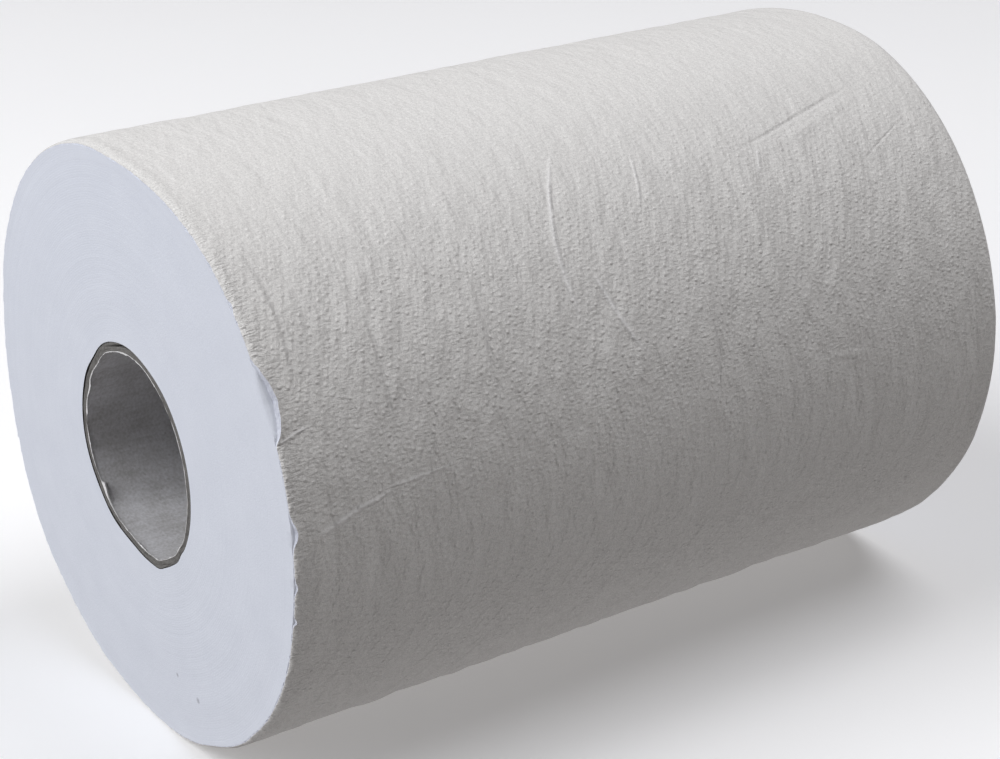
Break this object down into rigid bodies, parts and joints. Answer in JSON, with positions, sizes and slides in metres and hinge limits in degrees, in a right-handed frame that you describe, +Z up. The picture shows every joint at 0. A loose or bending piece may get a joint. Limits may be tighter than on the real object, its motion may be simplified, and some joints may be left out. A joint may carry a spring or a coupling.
{
  "type": "paper towel roll",
  "caption": "Soft embossed paper towel wound on a cardboard core, lying on its side with a small flat spot.",
  "frame": {"origin": "on the resting surface, below the middle of the roll's axis", "axes": "+Y along the roll's axis from the pictured end to the far end, +Z up"},
  "size_m": [0.1432, 0.2, 0.1385],
  "materials": {
    "towel_paper": "embossed, matt",
    "greyboard": "matt"
  },
  "bodies": {
    "root": {"towel_winding": "towel_paper", "core_tube": "greyboard"}
  },
  "joints": []
}
